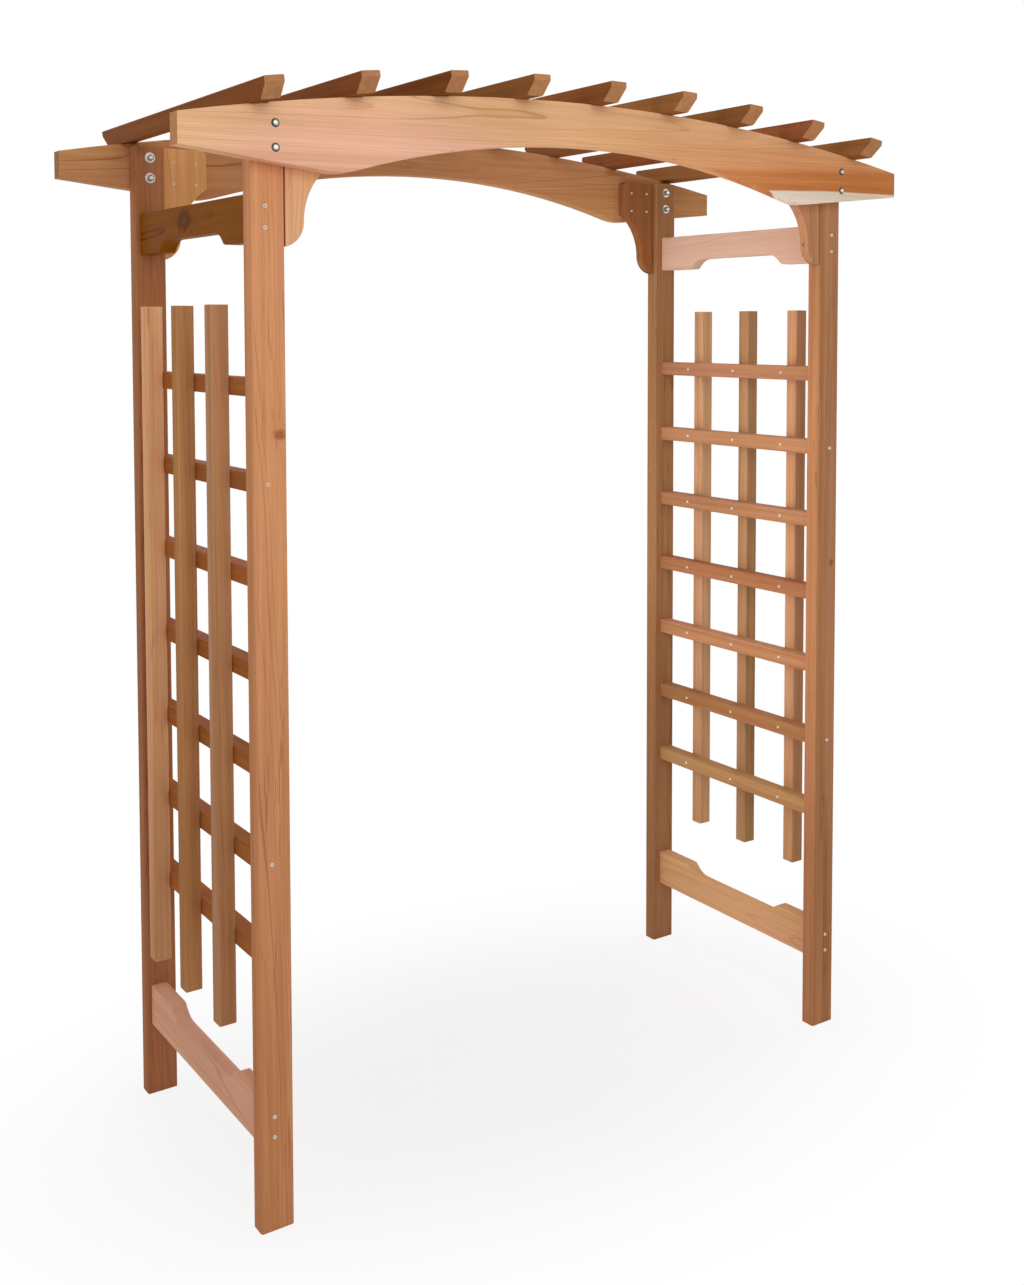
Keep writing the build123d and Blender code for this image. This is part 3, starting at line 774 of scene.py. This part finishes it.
def zinc(name, scale, bright=ZINC_BRIGHT, dull=ZINC_DULL, metallic=1.0, grazing=None):
    """Plated steel of bolts and screws; grazing is the tint of what it reflects at a slant, which a dark
    tint turns into a painted dark reflection.
    """
    material, tree, shader = new_material(name)
    place = tree.node("ShaderNodeTexCoord").outputs["Object"]
    # Marks of soil and painted shade on the heads
    soil_and_shade_mask = tree.node("ShaderNodeAttribute", attribute_name=SOIL_AND_SHADE_LAYER).outputs["Fac"]
    inputs = {"Vector": place, "Scale": scale, "Bright": linear(bright), "Dull": linear(dull)}
    finish = tree.group(plated_steel, {**inputs, "Soil And Shade": soil_and_shade_mask})
    relief = {"Height": finish["Height"], "Distance": SPANGLE_DEPTH, "Strength": SPANGLE_BUMP}
    tree.feed(shader.inputs["Base Color"], finish["Color"])
    tree.feed(shader.inputs["Roughness"], finish["Roughness"])
    tree.feed(shader.inputs["Normal"], tree.node("ShaderNodeBump", relief).outputs["Normal"])
    shader.inputs["Metallic"].default_value = metallic
    if grazing:
        # A dark tint here paints a dark reflection at a slant
        shader.inputs["Specular Tint"].default_value = grazing
    return material


def dress(node, material):
    """Gives a CAD node one material."""
    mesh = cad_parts[node].data
    if not mesh.materials:
        mesh.materials.append(material)
    for index in range(len(mesh.materials)):
        mesh.materials[index] = material


def board_tone(kind, node, draw):
    """A board's own tone, or one near its kind's."""
    if node in OWN_TONES:
        return OWN_TONES[node]
    tone, spread = KIND_TONES[kind]
    return shift_tone(tone, draw.uniform(-spread, spread))


def dress_boards():
    """One material for each board, with its own seed, tone and pith."""
    for kind, (grain, cut) in BOARDS.items():
        nodes = [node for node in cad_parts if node.startswith(kind) and not node.endswith("screws")]
        for number, node in enumerate(sorted(nodes)):
            draw = random.Random(f"{kind} {number}")
            tone = board_tone(kind, node, draw)
            own_cut, seed = OWN_CUTS.get(node) or (cut.varied(draw), draw.uniform(*SEED_RANGE))
            dress(node, cedar(node, grain, tone, own_cut, seed, KNOTS.get(node, ())))


def separate_solids(node):
    """Corners of each separate solid of a CAD node, as arrays."""
    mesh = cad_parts[node].data
    keys, corner = {}, []
    for vertex in mesh.vertices:
        key = tuple(round(value, CORNER_DIGITS) for value in vertex.co)
        corner.append(keys.setdefault(key, len(keys)))
    parent = list(range(len(keys)))

    def root(index):
        while parent[index] != index:
            parent[index] = parent[parent[index]]
            index = parent[index]
        return index

    for edge in mesh.edges:
        first, second = (root(corner[v]) for v in edge.vertices)
        parent[first] = second
    places = np.array(list(keys))
    roots = np.array([root(index) for index in range(len(keys))])
    return [places[roots == label] for label in sorted(set(roots))]


def fastener_frame(points):
    """Seat of a turned fastener's head, the axis out of it, and its sizes."""
    centre = points.mean(axis=0)
    axis = np.linalg.svd(points - centre, full_matrices=False)[2][0]
    along = (points - centre) @ axis
    across = np.linalg.norm(points - centre - np.outer(along, axis), axis=1)
    if along[across.argmax()] < 0:
        axis, along = -axis, -along
    middle = centre + axis * (along.max() + along.min()) / 2
    shank = np.median(across[along < along.max() - LONGEST_HEAD])
    wide = along[across > HEAD_WIDENS * shank]
    seat = wide.min() - (along.max() + along.min()) / 2
    sizes = {
        "head": across.max(),
        "height": along.max() - wide.min(),
        "length": wide.min() - along.min(),
        "shank": shank,
    }
    return Vector(middle + axis * seat), Vector(axis), sizes


def ring_of(bm, radius, height, segments):
    """Circle of vertices at a height, or a single point."""
    if radius <= 0:
        return [bm.verts.new((0, 0, height))]
    turns = [2 * math.pi * i / segments for i in range(segments)]
    return [bm.verts.new((radius * math.cos(t), radius * math.sin(t), height)) for t in turns]


def join_rings(bm, lower, upper):
    """Faces between two rings, or between a ring and a point."""
    count = max(len(lower), len(upper))
    for i in range(count):
        j = (i + 1) % count
        if len(upper) == 1:
            bm.faces.new((lower[i], lower[j], upper[0]))
        elif len(lower) == 1:
            bm.faces.new((lower[0], upper[j], upper[i]))
        else:
            bm.faces.new((lower[i], lower[j], upper[j], upper[i]))


def turn_profile(bm, profile, segments=HEAD_SEGMENTS):
    """Surface of revolution through (radius, height) pairs, from the bottom up; returns its top ring."""
    rings = [ring_of(bm, radius, height, segments) for radius, height in profile]
    for lower, upper in zip(rings, rings[1:]):
        join_rings(bm, lower, upper)
    return rings[-1]


def cross_outline(bm, reach, width, height):
    """Loop of twelve vertices round a cross."""
    quarter = [(reach, -width), (reach, width), (width, width)]
    loop = []
    for turn in range(4):
        spin = Matrix.Rotation(turn * math.pi / 2, 3, "Z")
        loop += [bm.verts.new(spin @ Vector((x, y, height))) for x, y in quarter]
    return loop


def loop_edges(bm, loop):
    """Edges between the neighbours of a closed loop."""
    return [bm.edges.get((loop[i - 1], loop[i])) for i in range(len(loop))]


def close_top(bm, rim, radius, height):
    """Flat top of a head, with a tapered cross recess."""
    mouth = cross_outline(bm, radius * RECESS_ARM_SHARE, radius * RECESS_WIDTH_SHARE, height)
    bottom = height * (1 - RECESS_DEPTH_SHARE)
    floor = [bm.verts.new((*(corner.co.xy * RECESS_FLOOR_SHARE), bottom)) for corner in mouth]
    join_rings(bm, floor, mouth)
    bm.faces.new(floor)
    bmesh.ops.triangle_fill(bm, edges=loop_edges(bm, rim) + loop_edges(bm, mouth), use_beauty=True)


def screw_shank(sizes):
    """Profile of a pointed shank."""
    return [(0, -sizes["length"]), (sizes["shank"], -sizes["length"] * POINT_STARTS), (sizes["shank"], 0)]


def pan_screw(bm, sizes):
    """Wood screw with a pan head, a cross recess and a pointed shank."""
    head, height = sizes["head"], sizes["height"]
    rounded = [(head * out, height * up) for out, up in PAN_HEAD]
    rim = turn_profile(bm, screw_shank(sizes) + rounded)
    close_top(bm, rim, head, height)


def flat_screw(bm, sizes):
    """Wood screw with a flat countersunk head and a cross recess."""
    head, height = sizes["head"], sizes["height"]
    rim = turn_profile(bm, screw_shank(sizes) + [(head, height)])
    close_top(bm, rim, head * FLAT_RECESS_SHARE, height)


def carriage_bolt(bm, sizes):
    """Bolt with a domed head, a shank and a threaded end."""
    head, height, length = sizes["head"], sizes["height"], sizes["length"]
    core = BOLT_RADIUS - THREAD_DEPTH
    profile = [(0, -length), (core, -length), (BOLT_RADIUS, -length + THREAD_DEPTH)]
    for i in range(int(THREAD_LENGTH / THREAD_PITCH)):
        foot = -length + THREAD_DEPTH + i * THREAD_PITCH
        profile += [(core, foot + THREAD_PITCH / 2), (BOLT_RADIUS, foot + THREAD_PITCH)]
    profile += [(BOLT_RADIUS, 0), (head, 0), (head, height * DOME_SKIRT)]
    dome = (head**2 + height**2) / (2 * height)
    for i in range(1, DOME_STEPS + 1):
        radius = head * (1 - i / DOME_STEPS)
        profile.append((radius, height - dome + math.sqrt(dome**2 - radius**2)))
    turn_profile(bm, profile, BOLT_SEGMENTS)


def mark_soil_and_shade(bm, sizes, soil_and_shade):
    """Marks the rim of a head and the floor of its recess, where dirt gathers and where shade and a dark
    reflection are painted.
    """
    layer = bm.verts.layers.float.new(SOIL_AND_SHADE_LAYER)
    for vertex in bm.verts:
        reach = vertex.co.xy.length / sizes["head"]
        below_mouth = 0 < vertex.co.z < sizes["height"] * RECESS_MOUTH
        if soil_and_shade["recess"] and reach < RECESS_REACH and below_mouth:
            vertex[layer] = soil_and_shade["recess"]
        else:
            vertex[layer] = soil_and_shade["rim"] * max(0.0, min(1.0, (reach - soil_and_shade["clean"]) / SOIL_AND_SHADE_FADE))


def add_fasteners(name, node, material, build):
    """One object with a modelled copy of each fastener of a CAD node."""
    draw = random.Random(name)
    whole = bmesh.new()
    whole.verts.layers.float.new(SOIL_AND_SHADE_LAYER)
    for points in separate_solids(node):
        seat, axis, sizes = fastener_frame(points)
        # Rims and recesses darkened, partly soil and partly painted shade and painted dark reflection
        soil_and_shade = BOLT_SOIL_AND_SHADE if build is carriage_bolt else SCREW_SOIL_AND_SHADE
        # The face screws on the right are made darker still
        if node == "bracket_face_screws" and seat.x > 0:
            soil_and_shade = DARKER_SOIL_AND_SHADE
        part = bmesh.new()
        build(part, sizes)
        bmesh.ops.recalc_face_normals(part, faces=part.faces)
        mark_soil_and_shade(part, sizes, soil_and_shade)
        turn = axis.to_track_quat("Z", "Y").to_matrix().to_4x4()
        spin = Matrix.Rotation(draw.uniform(0, math.pi / 2), 4, "Z")
        part.transform(Matrix.Translation(seat) @ turn @ spin)
        mesh = bpy.data.meshes.new("part")
        part.to_mesh(mesh)
        part.free()
        whole.from_mesh(mesh)
        bpy.data.meshes.remove(mesh)
    finish_piece(name, whole, material, node)


def finish_piece(name, bm, material, node):
    """Makes a finished mesh a smooth piece that stands for a CAD node."""
    mesh = bpy.data.meshes.new(name)
    bm.to_mesh(mesh)
    bm.free()
    mesh.materials.append(material)
    mesh.shade_smooth()
    mesh.set_sharp_from_angle(angle=SMOOTH_BELOW)
    piece = add_object(name, mesh)
    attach(piece, "root")
    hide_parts(node)


def add_object(name, data):
    """New object in the scene."""
    placed = bpy.data.objects.new(name, data)
    bpy.context.scene.collection.objects.link(placed)
    return placed


def add_all_fasteners():
    """Screws and bolts in place of their plain solids."""
    screw_zinc = zinc("screw_zinc", SCREW_WAVES, SCREW_BRIGHT, SCREW_DULL, metallic=SCREW_METALLIC)
    bolt_zinc = zinc("bolt_zinc", BOLT_WAVES, grazing=PAINTED_DARK_EDGE_REFLECTION)
    washer_zinc = zinc("washer_zinc", BOLT_WAVES)
    nut_zinc = zinc("nut_zinc", BOLT_WAVES, NUT_BRIGHT, NUT_DULL)
    for node in sorted(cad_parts):
        if node.endswith("_screws"):
            build = flat_screw if node.startswith("roof") else pan_screw
            add_fasteners(node + "_turned", node, screw_zinc, build)
    add_fasteners("carriage_bolts_turned", "carriage_bolts", bolt_zinc, carriage_bolt)
    dress("bolt_washers", washer_zinc)
    dress("hex_nuts", nut_zinc)


def seen_directly(tree):
    """1 where the camera, a reflection or glass shows the surroundings themselves."""
    path = tree.node("ShaderNodeLightPath").outputs
    seen = tree.math("MAXIMUM", path["Is Camera Ray"], path["Is Glossy Ray"])
    return tree.math("MAXIMUM", seen, path["Is Transmission Ray"])


def floor_white():
    """Matt white that glows where it is seen, less near the arbor, so that soft shadows show there."""
    material = bpy.data.materials.new("floor_white")
    material.use_nodes = True
    tree = Tree(material.node_tree)
    tree.nodes.clear()
    place = tree.node("ShaderNodeNewGeometry").outputs["Position"]
    reach = tree.vector("LENGTH", tree.vector("MULTIPLY", place, FLOOR_FADE_SHAPE))
    glow = tree.ramp(reach, FLOOR_FADE_START, FLOOR_FADE_END, FLOOR_GLOW_NEAR, 1.0)
    paint = (FLOOR_WHITE, FLOOR_WHITE, FLOOR_WHITE, 1.0)
    mix = tree.node("ShaderNodeMixShader")
    tree.feed(mix.inputs[0], tree.times(seen_directly(tree), glow))
    tree.feed(mix.inputs[1], tree.node("ShaderNodeBsdfDiffuse", {"Color": paint}).outputs["BSDF"])
    lit = tree.node("ShaderNodeEmission", {"Color": WHITE, "Strength": 1.0})
    tree.feed(mix.inputs[2], lit.outputs["Emission"])
    tree.feed(tree.node("ShaderNodeOutputMaterial").inputs["Surface"], mix.outputs[0])
    return material


def make_floor():
    """Wide pale floor, which isn't part of the arbor."""
    bm = bmesh.new()
    bmesh.ops.create_grid(bm, x_segments=1, y_segments=1, size=FLOOR_SIZE / 2)
    mesh = bpy.data.meshes.new("floor")
    bm.to_mesh(mesh)
    bm.free()
    mesh.materials.append(floor_white())
    add_object("floor", mesh)


def make_world():
    """White surroundings that light the arbor evenly at a plain level."""
    world = bpy.data.worlds.new("studio")
    bpy.context.scene.world = world
    world.use_nodes = True
    tree = Tree(world.node_tree)
    tree.nodes.clear()
    level = tree.ramp(seen_directly(tree), 0.0, 1.0, AMBIENT_LEVEL, 1.0)
    sky = tree.node("ShaderNodeBackground", {"Color": WHITE, "Strength": level})
    tree.feed(tree.node("ShaderNodeOutputWorld").inputs["Surface"], sky.outputs["Background"])


def make_lights():
    """Area lamps that the camera doesn't see."""
    for name, (place, target, width, height, watts, spread) in SOFTBOXES.items():
        lamp = bpy.data.lights.new(name, "AREA")
        lamp.shape = "RECTANGLE"
        lamp.size = width
        lamp.size_y = height
        lamp.energy = watts
        lamp.spread = math.radians(spread)
        light = add_object(name, lamp)
        light.location = place
        light.rotation_euler = (Vector(target) - Vector(place)).to_track_quat("-Z", "Y").to_euler()
        light.visible_camera = False


def make_camera():
    """Camera at the photograph's place and angle, with square pixels."""
    data = bpy.data.cameras.new("camera")
    data.sensor_width = SENSOR_WIDTH
    data.lens = SENSOR_WIDTH * FOCAL_PIXELS / PHOTO_HEIGHT
    data.shift_x = (PHOTO_WIDTH / 2 - AXIS_COLUMN) / PHOTO_HEIGHT
    data.shift_y = (AXIS_ROW - PHOTO_HEIGHT / 2) / PHOTO_HEIGHT
    data.dof.use_dof = False
    camera = add_object("camera", data)
    camera.location = CAMERA_PLACE
    camera.rotation_euler = Euler((math.pi / 2 - CAMERA_TILT_DOWN, 0.0, -CAMERA_YAW))
    bpy.context.scene.camera = camera


make_camera()
make_world()
make_lights()
make_floor()
dress_boards()
add_all_fasteners()
bpy.context.scene.view_settings.view_transform = "Standard"
